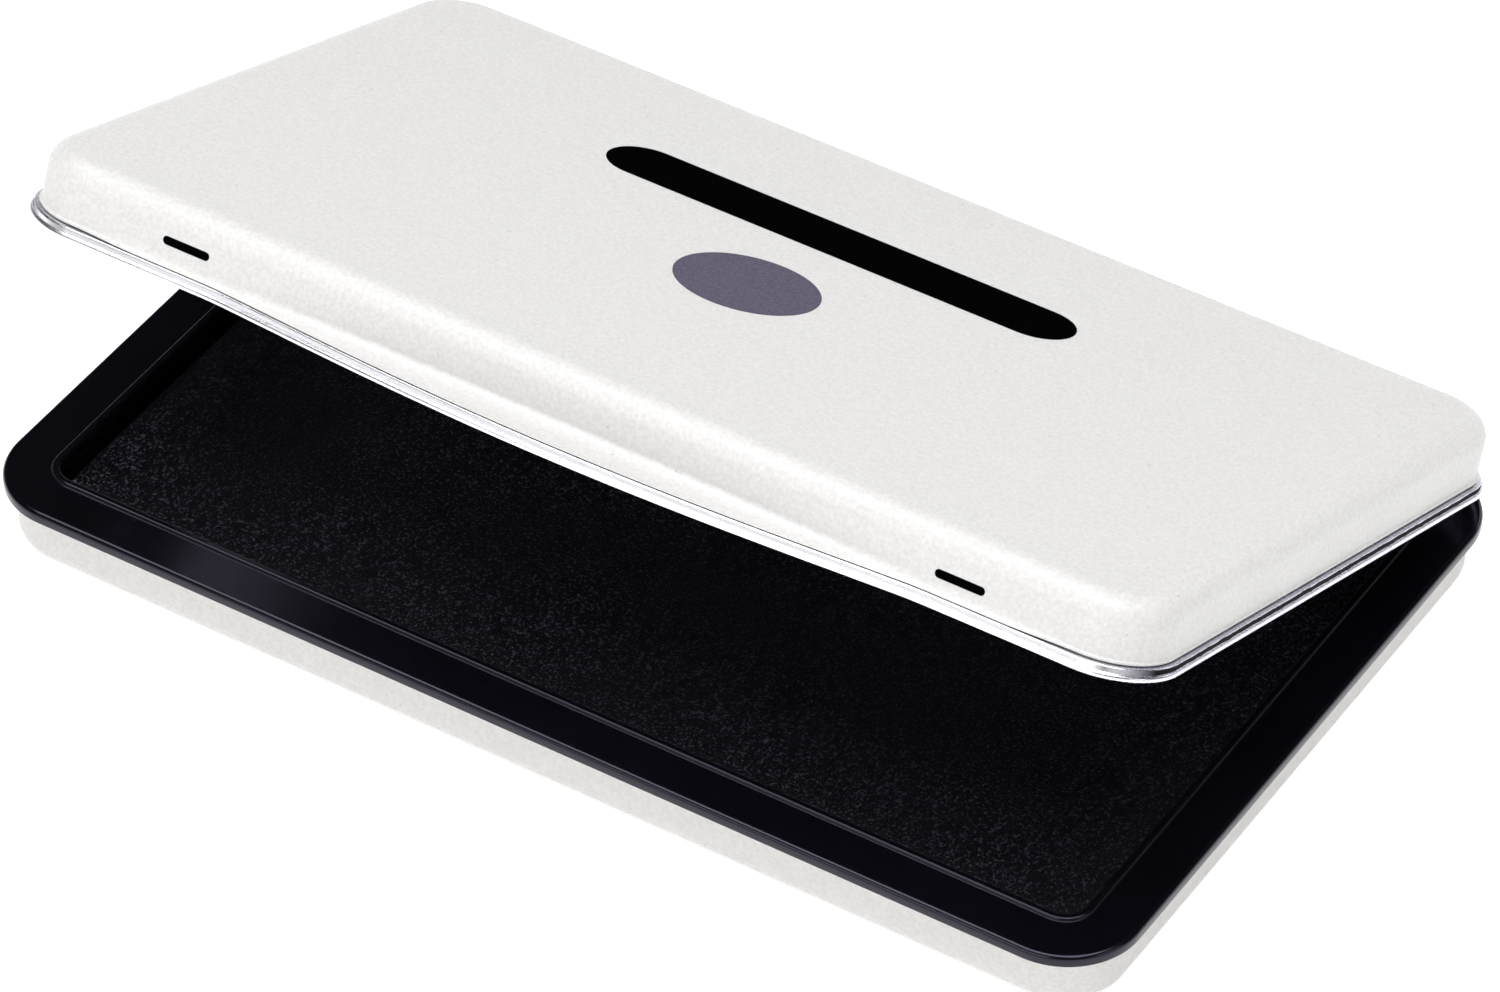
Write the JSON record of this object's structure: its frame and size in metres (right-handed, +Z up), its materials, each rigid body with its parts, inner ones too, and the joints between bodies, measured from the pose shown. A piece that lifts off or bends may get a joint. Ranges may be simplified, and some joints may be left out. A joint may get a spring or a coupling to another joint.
{
  "type": "ink pad",
  "caption": "Rectangular ink pad: an ink-soaked cloth face in a black tray, held in a pale enamelled metal case whose hinged lid has a thumb lip along its front.",
  "frame": {"origin": "middle of the pan's underside, on the surface that the case stands on", "axes": "+X to the right along the case, -Y towards the front, where the lid opens, +Z up"},
  "size_m": [0.13, 0.0855, 0.0447],
  "materials": {
    "enamelled_tinplate": "pale grey-white enamel, semi-gloss",
    "enamelled_lid": "warm pearl-grey enamel with a fine grain, semi-gloss",
    "bare_tinplate": "bright bare tinplate",
    "bare_steel": "plain stamped steel",
    "pin_steel": "drawn wire",
    "black_plastic": "satin",
    "backing_sheet": "matt",
    "ink_felt": "ink-soaked felt",
    "ink_cloth": "ink-soaked cloth with a fine nap"
  },
  "bodies": {
    "base": {"base_pan": "enamelled_tinplate", "ink_tray": "black_plastic", "pad_backing": "backing_sheet", "reservoir_felt": "ink_felt", "top_felt": "ink_felt", "pad_cover": "ink_cloth", "base_leaf_left": "bare_steel", "base_leaf_right": "bare_steel", "hinge_pin_left": "pin_steel", "hinge_pin_right": "pin_steel"},
    "lid": {"lid_shell": "enamelled_lid", "lid_liner": "bare_tinplate", "lid_leaf_left": "bare_steel", "lid_leaf_right": "bare_steel"}
  },
  "joints": [
    {"name": "lid_hinge", "type": "hinge", "parent": "base", "child": "lid", "pos_m": [0, 0.043, 0.00768], "axis": [-1, 0, 0], "range_deg": [-21.5, 88.5]}
  ]
}
